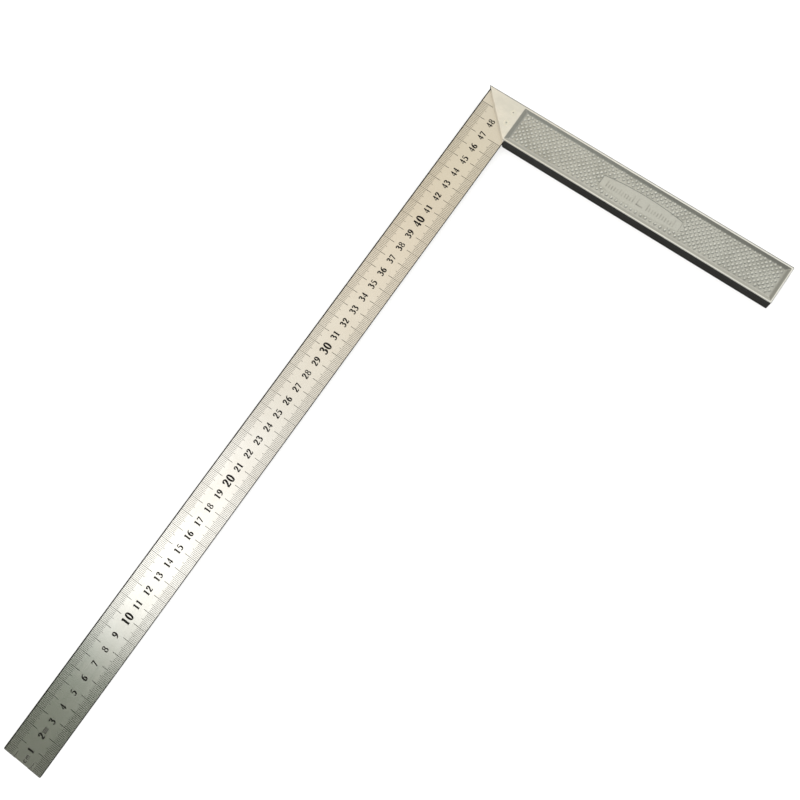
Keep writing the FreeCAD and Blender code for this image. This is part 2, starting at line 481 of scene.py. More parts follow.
def dot_material(finish, grip):
    """Cast dots, lighter on their tops: partly rubbed wear, partly a painted highlight."""
    material, net, shader, place = start_material("cast_dots")
    z = net.xyz(place)[2]
    from_middle = net.math("ABSOLUTE", net.minus(z, MID_Z))
    panel_height = STOCK_HIGH.z - MID_Z - grip.depth
    # Lighter tops: rubbed wear together with a painted highlight where light falls on each dot.
    rubbed_and_highlight = net.ramp(from_middle, panel_height + grip.dot_rise * 0.3, panel_height + grip.dot_rise * 0.9)
    skin = net.group("cast_skin", {"Vector": place})
    patches = net.group("soft_patches", {"Vector": place, "Size": 0.005})
    rubbed_and_highlight = net.times(rubbed_and_highlight, net.plus(0.35, net.times(patches["Mask"], 0.65)))
    side = net.blend(
        net.times(skin["Tone"], 0.4), solid_colour(finish.cast), solid_colour(finish.cast_dark)
    )
    tint = net.blend(rubbed_and_highlight, side, (0.80, 0.81, 0.78, 1.0))
    rough = net.minus(0.42, net.times(rubbed_and_highlight, 0.12))
    finish_metal(net, shader, tint, rough, skin["Height"], 0.3, 0.03 * MM)
    return material


def relief_material(finish):
    """Raised marks on the plate: the same casting, darkened all over in patches, a painted shade standing in
    for the shadow and dark reflection on their steep sides.
    """
    material, net, shader, place = start_material("plate_relief")
    skin = net.group("cast_skin", {"Vector": place})
    patches = net.group("soft_patches", {"Vector": place, "Size": 0.003})
    # Painted shade over the whole relief, patchy in strength.
    painted_relief_shade = net.plus(0.55, net.times(patches["Mask"], 0.4))
    tint = net.blend(painted_relief_shade, solid_colour(finish.cast), solid_colour(finish.cast_dark))
    rough = net.plus(0.42, net.times(skin["Tone"], 0.12))
    finish_metal(net, shader, tint, rough, skin["Height"], 0.3, 0.03 * MM)
    return material


def rivet_material(finish):
    """Soft alloy rivets, dressed flush with the cheek in one milling pass."""
    material, net, shader, place = start_material("flush_rivet")
    milling = net.group("metal_grain", {"Vector": place, "Stretch": (5200.0, 300.0, 5200.0)})
    patches = net.group("soft_patches", {"Vector": place, "Size": 0.0016})
    tint = net.blend(
        net.times(patches["Mask"], 0.5), (0.82, 0.82, 0.77, 1.0), (0.74, 0.75, 0.68, 1.0)
    )
    tint = net.blend(net.times(milling["Tone"], 0.2), tint, solid_colour(finish.milled))
    rough = net.plus(0.27, net.times(patches["Mask"], 0.12))
    finish_metal(net, shader, tint, rough, milling["Height"], 0.25, 0.02 * MM)
    return material


def ink_material(name, tone):
    """Printed ink: matt, with a few worn specks."""
    material, net, shader, place = start_material(name)
    worn = net.group("soft_patches", {"Vector": place, "Size": 0.0009, "Low": 0.60, "High": 0.80})
    lighter = tuple(0.5 * value + 0.03 for value in tone)
    starved = net.times(worn["Mask"], 0.35)
    net.fill(shader, {
        "Base Color": net.blend(starved, solid_colour(tone), solid_colour(lighter)),
        "Roughness": net.plus(0.5, net.times(worn["Mask"], 0.2)), "Specular IOR Level": 0.1,
    })
    return material


def floor_material(tone):
    """Pale matt floor. The metal mirrors it as dark close by, where a real bench lies in the tool's shade."""
    material, net, shader, place = start_material("pale_floor")
    paper = net.noise(place, 40.0, 3.0, 0.5)
    path = net.add("ShaderNodeLightPath").outputs
    mirrored = path["Is Glossy Ray"]
    shaded = net.blend(net.times(paper, 0.02), solid_colour(tone), (0.8, 0.8, 0.8, 1.0))
    far_off = net.ramp(path["Ray Length"], 0.016, 0.07, 0.0, 0.42)
    distant = net.join_xyz(far_off, far_off, net.times(far_off, 0.96))
    net.fill(shader, {
        "Base Color": net.blend(mirrored, shaded, (0.012, 0.012, 0.011, 1.0)),
        "Emission Color": net.blend(mirrored, (0.6, 0.6, 0.595, 1.0), distant), "Emission Strength": 1.0,
        "Roughness": 0.9, "Specular IOR Level": 0.0,
    })
    return material


def card_ramp(net, x, stops):
    """Colour along X from stops, each a place and a colour."""
    low, high = stops[0][0], stops[-1][0]
    ramp = net.add("ShaderNodeValToRGB", {0: net.over(net.minus(x, low), high - low)})
    elements = ramp.color_ramp.elements
    while len(elements) < len(stops):
        elements.new(0.5)
    for element, (position, tone) in zip(elements, stops):
        element.position = (position - low) / (high - low)
        element.color = solid_colour(tone)
    return ramp.outputs["Color"]


def card_material(blade_stops, stock_stops):
    """Glow of the overhead card: what the blade mirrors on one side, what the stock mirrors on the other."""
    material = bpy.data.materials.new("overhead_card")
    material.use_nodes = True
    material.node_tree.nodes.clear()
    net = Net(material.node_tree)
    x, y, _ = net.xyz(net.add("ShaderNodeTexCoord").outputs["Object"])
    glow = net.add("ShaderNodeEmission", {
        "Color": net.blend(
            net.ramp(y, -0.2, -0.04), card_ramp(net, x, blade_stops),
            card_ramp(net, x, stock_stops),
        )
    })
    surface = net.add("ShaderNodeOutputMaterial")
    net.feed(surface.inputs["Surface"], glow.outputs[0])
    return material


# ---- geometry node trees ------------------------------------------------------------------

GEOMETRY_OUT = {"Geometry": "NodeSocketGeometry"}


def build_mark_row_tree():
    """A row of thin bars, every fifth and tenth one longer, all starting on one line."""
    net, given, out = start_tree(
        "mark_row", "GeometryNodeTree",
        {
            "Start": (0.0, 0.0, 0.0), "Step": (1.0, 0.0, 0.0), "Count": 11, "Turn": 0.0, "Width": 0.1,
            "Widening": 1.0, "Short": 1.0, "Middle": 1.5, "Long": 2.0, "Thickness": 0.1,
        },
        GEOMETRY_OUT,
    )
    line = net.add(
        "GeometryNodeMeshLine",
        {"Count": given["Count"], "Start Location": given["Start"], "Offset": given["Step"]}, mode="OFFSET",
    )
    bar = net.add("GeometryNodeMeshCube", {
        "Size": net.join_xyz(given["Width"], 1.0, given["Thickness"])
    })
    moved = net.add("GeometryNodeTransform", {
        "Geometry": bar.outputs["Mesh"], "Translation": (0.0, 0.5, 0.0)
    })
    index = net.add("GeometryNodeInputIndex").outputs[0]
    tenth = net.math("LESS_THAN", net.math("MODULO", index, 10.0), 0.5)
    fifth = net.math("LESS_THAN", net.math("MODULO", index, 5.0), 0.5)
    size = net.plus(given["Short"], net.times(fifth, net.minus(given["Middle"], given["Short"])))
    size = net.plus(size, net.times(tenth, net.minus(given["Long"], given["Middle"])))
    wider = net.plus(1.0, net.times(tenth, net.minus(given["Widening"], 1.0)))
    placed = net.add("GeometryNodeInstanceOnPoints", {
        "Points": line.outputs[0], "Instance": moved.outputs[0],
        "Rotation": net.join_xyz(0.0, 0.0, given["Turn"]), "Scale": net.join_xyz(wider, size, 1.0),
    })
    net.feed(out["Geometry"], placed.outputs[0])


def finish_tree(net, out, geometry, material, smooth):
    """Makes instances real and gives them their material, as every tree here ends."""
    real = net.add("GeometryNodeRealizeInstances", {"Geometry": geometry})
    shaded = net.add("GeometryNodeSetShadeSmooth", {"Geometry": real.outputs[0], "Shade Smooth": smooth})
    done = net.add("GeometryNodeSetMaterial", {"Geometry": shaded.outputs[0], "Material": material})
    net.feed(out["Geometry"], done.outputs[0])


def build_scale_tree():
    """The whole printed scale: a row along each edge of each face."""
    net, given, out = start_tree(
        "printed_scale", "GeometryNodeTree",
        {
            "Low": tuple(BLADE_LOW), "High": tuple(BLADE_HIGH), "Pitch": 0.001, "Outer marks": 491,
            "Inner marks": 471, "Edge gap": 0.0001, "Width": 0.0001, "Widening": 1.5, "Short": 0.005,
            "Middle": 0.006, "Long": 0.008, "Thickness": 1e-05, "Ink": "NodeSocketMaterial",
        },
        GEOMETRY_OUT,
    )
    low, high = net.xyz(given["Low"]), net.xyz(given["High"])
    step = net.join_xyz(net.times(given["Pitch"], -1.0), 0.0, 0.0)
    half_mark = net.times(given["Width"], given["Widening"], 0.5)
    zero_x = net.minus(high[0], half_mark)
    outer_y = net.plus(low[1], given["Edge gap"])
    inner_y = net.minus(high[1], given["Edge gap"])
    joined = net.add("GeometryNodeJoinGeometry")
    for height in (low[2], high[2]):
        for edge_y, count, turn in ((outer_y, "Outer marks", 0.0), (inner_y, "Inner marks", math.pi)):
            row = net.group("mark_row", {
                "Start": net.join_xyz(zero_x, edge_y, height), "Step": step, "Count": given[count],
                "Turn": turn, "Width": given["Width"], "Widening": given["Widening"],
                "Short": given["Short"], "Middle": given["Middle"], "Long": given["Long"],
                "Thickness": net.times(given["Thickness"], 2.0),
            })
            net.feed(joined.inputs[0], row["Geometry"])
    finish_tree(net, out, joined.outputs[0], given["Ink"], False)


def build_dot_tree():
    """Cast dots on a square lattice turned by 45 degrees, kept off the walls and off the plate."""
    net, given, out = start_tree(
        "cast_dots", "GeometryNodeTree",
        {
            "Low": (0.0, 0.0, 0.0), "High": (1.0, 1.0, 0.0), "Face Z": 0.0, "Lattice step": 0.001,
            "Clearance": 0.001, "Radius": 0.001, "Rise": 0.0004, "Plate centre": (0.0, 0.0, 0.0),
            "Plate half length": 0.02, "Plate half end": 0.003, "Plate bulge": 0.002, "Size spread": 0.05,
            "Seed": 7, "Alloy": "NodeSocketMaterial",
        },
        GEOMETRY_OUT,
    )
    room = net.xyz(net.vector("SUBTRACT", given["High"], given["Low"]))
    pitch = net.times(given["Lattice step"], 2.0)
    spaces = [net.math("CEIL", net.over(size, pitch)) for size in (room[0], room[1])]
    first = net.vector("ADD", given["Low"], net.join_xyz(
        given["Clearance"], given["Clearance"], given["Face Z"]
    ))
    joined = net.add("GeometryNodeJoinGeometry")
    for shift in (0.0, 1.0):
        grid = net.add("GeometryNodeMeshGrid")
        for axis, count in zip("XY", spaces):
            net.feed(grid.inputs["Vertices " + axis], net.plus(count, 1.0))
            net.feed(grid.inputs["Size " + axis], net.times(count, pitch))
        offset = net.times(given["Lattice step"], shift)
        half_x, half_y = (net.plus(offset, net.times(count, pitch, 0.5)) for count in spaces)
        moved = net.add("GeometryNodeTransform", {
            "Geometry": grid.outputs["Mesh"],
            "Translation": net.vector("ADD", first, net.join_xyz(half_x, half_y, 0.0)),
        })
        net.feed(joined.inputs[0], moved.outputs[0])
    points = net.add("GeometryNodeMeshToPoints", {"Mesh": joined.outputs[0]})
    position = net.add("GeometryNodeInputPosition").outputs[0]
    below = net.xyz(net.vector("SUBTRACT", position, given["Low"]))
    above = net.xyz(net.vector("SUBTRACT", given["High"], position))
    spare = net.least(below[0], below[1], net.least(above[0], above[1]))
    outside = net.math("LESS_THAN", spare, net.times(given["Clearance"], 0.99))
    across, along, _ = net.xyz(net.vector("SUBTRACT", position, given["Plate centre"]))
    share = net.over(along, given["Plate half length"])
    bow = net.minus(1.0, net.times(share, share))
    half_width = net.plus(given["Plate half end"], net.times(bow, given["Plate bulge"]))
    over_side = net.math(
        "LESS_THAN", net.math("ABSOLUTE", across), net.plus(half_width, given["Radius"])
    )
    over_end = net.math(
        "LESS_THAN", net.math("ABSOLUTE", along),
        net.plus(given["Plate half length"], given["Radius"]),
    )
    unwanted = net.most(outside, net.times(over_side, over_end))
    kept = net.add("GeometryNodeDeleteGeometry", {"Geometry": points.outputs[0], "Selection": unwanted})
    dot = net.add("GeometryNodeMeshUVSphere", {"Segments": 9, "Rings": 6, "Radius": 1.0})
    spread = net.add("FunctionNodeRandomValue", data_type="FLOAT")
    for name, value in (
        ("Min", net.math("SUBTRACT", 1.0, given["Size spread"])),
        ("Max", net.math("ADD", 1.0, given["Size spread"])),
        ("Seed", given["Seed"]),
    ):
        socket = next(s for s in spread.inputs if s.name == name and s.enabled)
        net.feed(socket, value)
    factor = next(s for s in spread.outputs if s.enabled)
    placed = net.add("GeometryNodeInstanceOnPoints", {
        "Points": kept.outputs[0], "Instance": dot.outputs["Mesh"],
        "Scale": net.vector(
            "MULTIPLY", net.join_xyz(given["Radius"], given["Radius"], given["Rise"]),
            net.join_xyz(factor, factor, factor),
        ),
    })
    finish_tree(net, out, placed.outputs[0], given["Alloy"], True)


def build_relief_tree():
    """Raised bars on the smooth plate, like a short scale either side of its middle."""
    net, given, out = start_tree(
        "plate_relief", "GeometryNodeTree",
        {
            "Centre": (0.0, 0.0, 0.0), "Gap": 0.006, "Pitch": 0.0016, "Count": 11, "Width": 0.0006,
            "Short": 0.002, "Middle": 0.003, "Long": 0.004, "Rise": 0.0002, "Base": 0.002,
            "Angle leg": 0.005, "Alloy": "NodeSocketMaterial",
        },
        GEOMETRY_OUT,
    )
    centre = net.xyz(given["Centre"])
    joined = net.add("GeometryNodeJoinGeometry")
    base_x = net.plus(centre[0], given["Base"])
    for side in (-1.0, 1.0):
        start_y = net.plus(centre[1], net.times(given["Gap"], side))
        row = net.group("mark_row", {
            "Start": net.join_xyz(base_x, start_y, centre[2]),
            "Step": net.join_xyz(0.0, net.times(given["Pitch"], side), 0.0), "Count": given["Count"],
            "Turn": math.pi / 2, "Width": given["Width"], "Short": given["Short"],
            "Middle": given["Middle"], "Long": given["Long"], "Thickness": net.times(given["Rise"], 2.0),
        })
        net.feed(joined.inputs[0], row["Geometry"])
    thickness = net.times(given["Rise"], 2.0)
    leg = given["Angle leg"]
    inset = net.times(net.minus(leg, given["Width"]), 0.5)
    for size, shift in (
        (
            net.join_xyz(leg, given["Width"], thickness),
            net.join_xyz(0.0, net.times(inset, -1.0), 0.0),
        ),
        (net.join_xyz(given["Width"], leg, thickness), net.join_xyz(inset, 0.0, 0.0)),
    ):
        block = net.add("GeometryNodeMeshCube", {"Size": size})
        moved = net.add("GeometryNodeTransform", {
            "Geometry": block.outputs["Mesh"], "Translation": net.vector("ADD", given["Centre"], shift)
        })
        net.feed(joined.inputs[0], moved.outputs[0])
    finish_tree(net, out, joined.outputs[0], given["Alloy"], False)


def grown_mesh(piece_name, tree_name, inputs):
    """Runs a geometry node tree on an empty mesh and returns its result as a plain mesh piece."""
    holder = bpy.data.objects.new(piece_name + "_holder", bpy.data.meshes.new(piece_name + "_seed"))
    bpy.context.scene.collection.objects.link(holder)
    modifier = holder.modifiers.new(tree_name, "NODES")
    tree = bpy.data.node_groups[tree_name]
    modifier.node_group = tree
    for socket in tree.interface.items_tree:
        if socket.item_type == "SOCKET" and socket.in_out == "INPUT":
            modifier[socket.identifier] = inputs.get(socket.name, modifier.get(socket.identifier))
    graph = bpy.context.evaluated_depsgraph_get()
    mesh = bpy.data.meshes.new_from_object(holder.evaluated_get(graph), depsgraph=graph)
    bpy.data.objects.remove(holder)
    if not mesh.polygons:
        raise RuntimeError(f"the {tree_name} tree made no faces for {piece_name}")
    mesh.name = piece_name
    return add_piece(piece_name, mesh)


def add_piece(name, mesh):
    piece = bpy.data.objects.new(name, mesh)
    bpy.context.scene.collection.objects.link(piece)
    return piece


def hand_over(piece):
    """The piece is parented to the ruler's one body, so it moves with it."""
    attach(piece, "root")


# ---- numerals: broad-pen strokes, thick where they run upright ------------------------------

THICK_HALF = 0.120   # half stroke widths, as shares of a numeral's height
THIN_HALF = 0.061
BALL_RADIUS = 0.085
DIGIT_STEP = 0.66    # from one digit to the next, as a share of the height
DIGIT_MIDDLE = 0.30  # x of a digit's own middle


def pen_half_width(dx, dy):
    size = math.hypot(dx, dy) or 1.0
    return THIN_HALF + (THICK_HALF - THIN_HALF) * (dy / size) ** 2


def with_pen(points, closed):
    """Stations (x, y, half width) from plain points, wide where the line runs upright."""
    count = len(points)
    stations = []
    for i, (x, y) in enumerate(points):
        before = points[(i - 1) % count] if closed or i else points[i]
        after = points[(i + 1) % count] if closed or i < count - 1 else points[i]
        stations.append((x, y, pen_half_width(after[0] - before[0], after[1] - before[1])))
    return {"stations": stations, "closed": closed}


def ring(centre_x, centre_y, radius_x, radius_y, weight=1.0, count=28):
    angles = [2 * math.pi * i / count for i in range(count)]
    points = [(centre_x + radius_x * math.cos(a), centre_y + radius_y * math.sin(a)) for a in angles]
    stroke = with_pen(points, True)
    stroke["stations"] = [(x, y, half * weight) for x, y, half in stroke["stations"]]
    return stroke


def sweep(*points, per_span=6):
    """A smooth pen stroke through the points."""
    padded = [points[0], *points, points[-1]]
    line = []
    for i in range(1, len(padded) - 2):
        p0, p1, p2, p3 = (Vector(p) for p in padded[i - 1:i + 3])
        for k in range(per_span):
            t = k / per_span
            line.append(tuple(0.5 * (
                2 * p1 + (p2 - p0) * t + (2 * p0 - 5 * p1 + 4 * p2 - p3) * t ** 2
                + (3 * p1 - p0 - 3 * p2 + p3) * t ** 3
            )))
    line.append(points[-1])
    return with_pen(line, False)


def bar(x0, y0, x1, y1, half):
    return {"stations": [(x0, y0, half), (x1, y1, half)], "closed": False}


def ball(x, y, radius=BALL_RADIUS, count=12):
    angles = [2 * math.pi * i / count for i in range(count)]
    return {"polygon": [(x + radius * math.cos(a), y + radius * math.sin(a)) for a in angles]}


def six():
    return [
        sweep((0.53, 0.97), (0.33, 0.89), (0.17, 0.68), (0.115, 0.38), (0.17, 0.12), (0.31, 0.025),
              (0.45, 0.12), (0.49, 0.30), (0.44, 0.49), (0.32, 0.575), (0.19, 0.50)),
    ]


def turned_round(strokes):
    """The same strokes after half a turn about the digit's middle."""
    return [
        {"closed": s["closed"], "stations": [(0.60 - x, 1.0 - y, h) for x, y, h in s["stations"]]}
        for s in strokes
    ]


GLYPHS = {
    "0": [ring(0.30, 0.50, 0.195, 0.465, 0.95)],
    "1": [
        bar(0.31, 0.0, 0.31, 0.985, THICK_HALF), bar(0.10, 0.84, 0.29, 0.945, 0.045),
        bar(0.12, 0.03, 0.50, 0.03, 0.03),
    ],
    "2": [
        sweep((0.10, 0.76), (0.17, 0.90), (0.29, 0.965), (0.43, 0.88), (0.45, 0.70), (0.33, 0.42),
              (0.09, 0.10)),
        ball(0.115, 0.73), bar(0.06, 0.078, 0.50, 0.078, 0.078), bar(0.48, 0.05, 0.55, 0.25, 0.034),
    ],
    "3": [
        sweep((0.09, 0.80), (0.17, 0.92), (0.28, 0.965), (0.41, 0.86), (0.39, 0.66), (0.21, 0.535)),
        sweep((0.21, 0.535), (0.41, 0.48), (0.48, 0.28), (0.37, 0.08), (0.21, 0.025), (0.10, 0.08)),
        ball(0.115, 0.115),
    ],
    "4": [
        bar(0.385, 0.95, 0.055, 0.30, 0.042), bar(0.02, 0.275, 0.57, 0.275, 0.058),
        bar(0.39, 0.0, 0.39, 0.99, 0.095),
    ],
    "5": [
        bar(0.17, 0.905, 0.51, 0.925, 0.066), bar(0.18, 0.95, 0.125, 0.56, 0.036),
        sweep((0.115, 0.57), (0.29, 0.61), (0.44, 0.51), (0.48, 0.30), (0.38, 0.09), (0.21, 0.025),
              (0.10, 0.07)),
        ball(0.115, 0.10),
    ],
    "6": six(),
    "7": [
        bar(0.06, 0.90, 0.54, 0.90, 0.078), bar(0.08, 0.92, 0.055, 0.70, 0.034),
        bar(0.49, 0.90, 0.24, 0.0, 0.078),
    ],
    "8": [ring(0.30, 0.745, 0.17, 0.215, 0.72), ring(0.30, 0.265, 0.21, 0.235, 0.78)],
    "9": turned_round(six()),
    "c": [
        sweep((0.44, 0.50), (0.30, 0.62), (0.14, 0.52), (0.09, 0.31), (0.16, 0.08), (0.30, 0.02),
              (0.45, 0.12)),
    ],
    "m": [
        bar(0.14, 0.0, 0.14, 0.62, 0.06), bar(0.44, 0.0, 0.44, 0.50, 0.06), bar(0.74, 0.0, 0.74, 0.50, 0.06),
        sweep((0.14, 0.50), (0.29, 0.61), (0.44, 0.50)), sweep((0.44, 0.50), (0.59, 0.61), (0.74, 0.50)),
    ],
}


class Relief:
    """Collects thin solid strokes and turns them into one mesh."""

    def __init__(self, low_z, high_z):
        self.low_z, self.high_z = low_z, high_z
        self.points, self.faces = [], []

    def outline(self, corners):
        """A flat solid over one convex outline, given anticlockwise from above."""
        base, count = len(self.points), len(corners)
        for z in (self.low_z, self.high_z):
            self.points += [(x, y, z) for x, y in corners]
        low = [base + i for i in range(count)]
        high = [base + count + i for i in range(count)]
        self.faces += [high, low[::-1]]
        self.faces += [(low[i], low[(i + 1) % count], high[(i + 1) % count], high[i]) for i in range(count)]

    def ribbon(self, stations, closed):
        """A flat solid that follows stations of place and half width."""
        count, base = len(stations), len(self.points)
        for i, (x, y, half) in enumerate(stations):
            before = stations[(i - 1) % count] if closed or i else stations[i]
            after = stations[(i + 1) % count] if closed or i < count - 1 else stations[i]
            dx, dy = after[0] - before[0], after[1] - before[1]
            size = math.hypot(dx, dy)
            nx, ny = -dy / size * half, dx / size * half
            for z in (self.low_z, self.high_z):
                self.points += [(x + nx, y + ny, z), (x - nx, y - ny, z)]
        for i in range(count if closed else count - 1):
            low_left, low_right, high_left, high_right = (base + 4 * i + k for k in range(4))
            j = (i + 1) % count
            next_low_left, next_low_right, next_high_left, next_high_right = (
                base + 4 * j + k for k in range(4)
            )
            self.faces += [
                (high_right, next_high_right, next_high_left, high_left),
                (low_left, next_low_left, next_low_right, low_right),
                (low_right, next_low_right, next_high_right, high_right),
                (high_left, next_high_left, next_low_left, low_left),
            ]
        if not closed:
            last = base + 4 * (count - 1)
            self.faces += [
                (base, base + 1, base + 3, base + 2),
                (last + 2, last + 3, last + 1, last),
            ]

    def glyph(self, strokes, place, height):
        """One glyph. place turns its (x, y) into the frame's, and height is its height there."""
        for stroke in strokes:
            if "polygon" in stroke:
                self.outline([place(x, y) for x, y in stroke["polygon"]])
            else:
                self.ribbon(
                    [(*place(x, y), half * height) for x, y, half in stroke["stations"]], stroke["closed"]
                )

    def mesh(self, name, material):
        mesh = bpy.data.meshes.new(name)
        mesh.from_pydata(self.points, [], self.faces)
        mesh.materials.append(material)
        return mesh


def both_faces(mesh):
    """Adds a second print to the same mesh, turned about the blade's length onto its lower face."""
    centre = Vector((0.0, (BLADE_LOW.y + BLADE_HIGH.y) / 2, MID_Z))
    turn = Matrix.Translation(centre) @ Matrix.Rotation(math.pi, 4, "X") @ Matrix.Translation(-centre)
    points = [v.co.copy() for v in mesh.vertices]
    faces = [tuple(p.vertices) for p in mesh.polygons]
    shift = len(points)
    doubled = bpy.data.meshes.new(mesh.name)
    doubled.from_pydata(
        points + [turn @ p for p in points], [], faces + [tuple(i + shift for i in face) for face in faces]
    )
    doubled.materials.append(mesh.materials[0])
    return doubled


def blade_lettering(text, reading_x, middle_y, height, relief):
    """Writes text so that it reads from the free end towards the corner, centred on reading_x."""
    span = DIGIT_STEP * (len(text) - 1)
    foot_y = middle_y + height / 2
    for i, character in enumerate(text):
        offset = DIGIT_STEP * i - span / 2 - DIGIT_MIDDLE

        def place(x, y, offset=offset):
            return reading_x - (offset + x) * height, foot_y - y * height

        relief.glyph(GLYPHS[character], place, height)


# ---- operators ----------------------------------------------------------------------------

class RulerOperator:
    bl_options = {"REGISTER", "UNDO"}


class RULER_OT_effects(RulerOperator, bpy.types.Operator):
    """Build the shader groups and node trees that the pieces share"""

    bl_idname = "square_ruler.effects"
    bl_label = "Shared effects"

    def execute(self, context):
        for build in (
            build_grain_group, build_patches_group, build_cast_group, build_edge_group,
            build_mark_row_tree, build_scale_tree, build_dot_tree, build_relief_tree,
        ):
            build()
        return {"FINISHED"}


class RULER_OT_blade(RulerOperator, bpy.types.Operator):
    """Finish the blade in satin stainless steel"""

    bl_idname = "square_ruler.blade"
    bl_label = "Blade finish"

    def execute(self, context):
        finish_node("blade", steel_material(context.scene.ruler_finish))
        return {"FINISHED"}


class RULER_OT_stock(RulerOperator, bpy.types.Operator):
    """Finish the stock: milled rims and cheeks round an as-cast panel"""

    bl_idname = "square_ruler.stock"
    bl_label = "Stock finish"

    def execute(self, context):
        scene = context.scene
        finish_node("stock", alloy_material(scene.ruler_finish, scene.ruler_grip))
        return {"FINISHED"}


class RULER_OT_rivets(RulerOperator, bpy.types.Operator):
    """Finish the rivets that hold the blade between the cheeks"""

    bl_idname = "square_ruler.rivets"
    bl_label = "Rivet finish"

    def execute(self, context):
        material = rivet_material(context.scene.ruler_finish)
        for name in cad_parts:
            if name.startswith("rivet"):
                finish_node(name, material)
        return {"FINISHED"}


class RULER_OT_scale_marks(RulerOperator, bpy.types.Operator):
    """Print the millimetre marks along both edges of both faces"""

    bl_idname = "square_ruler.scale_marks"
    bl_label = "Scale marks"

    def execute(self, context):
        scale = context.scene.ruler_scale
        piece = grown_mesh("scale_marks", "printed_scale", {
            "Low": tuple(BLADE_LOW), "High": tuple(BLADE_HIGH), "Pitch": scale.pitch,
            "Outer marks": scale.outer_marks, "Inner marks": scale.inner_marks, "Edge gap": scale.edge_gap,
            "Width": scale.line_width, "Widening": scale.long_widening, "Short": scale.short_mark,
            "Middle": scale.middle_mark, "Long": scale.long_mark, "Thickness": scale.ink_height,
            "Ink": ink_material("scale_ink", context.scene.ruler_finish.ink),
        })
        hand_over(piece)
        return {"FINISHED"}


class RULER_OT_numerals(RulerOperator, bpy.types.Operator):
    """Print the centimetre numerals down the middle of both faces"""

    bl_idname = "square_ruler.numerals"
    bl_label = "Numerals"

    def execute(self, context):
        scale = context.scene.ruler_scale
        relief = Relief(BLADE_HIGH.z - scale.ink_height, BLADE_HIGH.z + scale.ink_height)
        middle_y = (BLADE_LOW.y + BLADE_HIGH.y) / 2
        for number in range(1, scale.last_numeral + 1):
            tick_x = BLADE_HIGH.x - number * 10 * scale.pitch
            reading_x = tick_x + (scale.single_shift if number < 10 else 0.0)
            height = scale.tens_height if number % 10 == 0 else scale.numeral_height
            blade_lettering(str(number), reading_x, middle_y, height, relief)
        ink = ink_material("numeral_ink", context.scene.ruler_finish.ink)
        piece = add_piece("numerals", both_faces(relief.mesh("numerals", ink)))
        hand_over(piece)
        return {"FINISHED"}


class RULER_OT_unit_marks(RulerOperator, bpy.types.Operator):
    """Print the unit, a plain spacer mark and the two short lines at the free end"""

    bl_idname = "square_ruler.unit_marks"
    bl_label = "Unit and small marks"

    def execute(self, context):
        scale = context.scene.ruler_scale
        relief = Relief(BLADE_HIGH.z - scale.ink_height, BLADE_HIGH.z + scale.ink_height)
        middle_y = (BLADE_LOW.y + BLADE_HIGH.y) / 2
        blade_lettering("cm", BLADE_HIGH.x - UNIT_FROM_END, middle_y + UNIT_RISE, UNIT_HEIGHT, relief)
        for line_y in (END_LINE_INSET, BLADE_HIGH.y - END_LINE_INSET):
            relief.ribbon([(BLADE_HIGH.x - x, line_y, END_LINE_HALF_WIDTH) for x in END_LINE_SPAN], False)
        spacer_x = BLADE_HIGH.x - SPACER_FROM_END
        for row in SPACER_ROWS:
            relief.ribbon([
                (spacer_x + shift, middle_y + row, SPACER_HALF_WIDTH)
                for shift in (SPACER_HALF_LENGTH, -SPACER_HALF_LENGTH)
            ], False)
        ink = ink_material("pale_ink", context.scene.ruler_finish.pale_ink)
        piece = add_piece("unit_marks", both_faces(relief.mesh("unit_marks", ink)))
        hand_over(piece)
        return {"FINISHED"}


class RULER_OT_grip_dots(RulerOperator, bpy.types.Operator):
    """Cast the dotted grip into the panel on both broad faces"""

    bl_idname = "square_ruler.grip_dots"
    bl_label = "Grip dots"

    def execute(self, context):
        grip = context.scene.ruler_grip
        alloy = dot_material(context.scene.ruler_finish, grip)
        low = (STOCK_LOW.x + grip.outer_rim + grip.outer_slope, BLADE_HIGH.y + grip.near_slope, 0.0)
        high = (
            STOCK_HIGH.x - grip.inner_rim - grip.inner_slope,
            STOCK_HIGH.y - grip.far_rim - grip.far_slope, 0.0,
        )
        for name, face_z in (
            ("grip_dots_upper", STOCK_HIGH.z - grip.depth), ("grip_dots_lower", STOCK_LOW.z + grip.depth),
        ):
            piece = grown_mesh(name, "cast_dots", {
                "Low": low, "High": high, "Face Z": face_z, "Lattice step": grip.lattice,
                "Clearance": grip.dot_clearance, "Radius": grip.dot_radius, "Rise": grip.dot_rise,
                "Plate centre": (*grip.plate_centre, face_z), "Plate half length": grip.plate_length / 2,
                "Plate half end": grip.plate_end / 2, "Plate bulge": grip.plate_bulge, "Size spread": 0.12,
                "Seed": 7, "Alloy": alloy,
            })
            hand_over(piece)
        return {"FINISHED"}


class RULER_OT_plate_relief(RulerOperator, bpy.types.Operator):
    """Raise a plain pattern of bars and a right angle on the smooth plate"""

    bl_idname = "square_ruler.plate_relief"
    bl_label = "Plate relief"

    def execute(self, context):
        grip = context.scene.ruler_grip
        alloy = relief_material(context.scene.ruler_finish)
        sunk = grip.depth + grip.plate_depth
        for name, face_z in (
            ("plate_relief_upper", STOCK_HIGH.z - sunk), ("plate_relief_lower", STOCK_LOW.z + sunk),
        ):
            piece = grown_mesh(name, "plate_relief", {
                "Centre": (*grip.plate_centre, face_z), "Gap": 5.0 * MM, "Pitch": 1.9 * MM, "Count": 11,
                "Width": 0.6 * MM, "Short": 2.6 * MM, "Middle": 3.6 * MM, "Long": 4.6 * MM,
                "Rise": grip.relief, "Base": 2.3 * MM, "Angle leg": 4.6 * MM, "Alloy": alloy,
            })
            hand_over(piece)
        return {"FINISHED"}


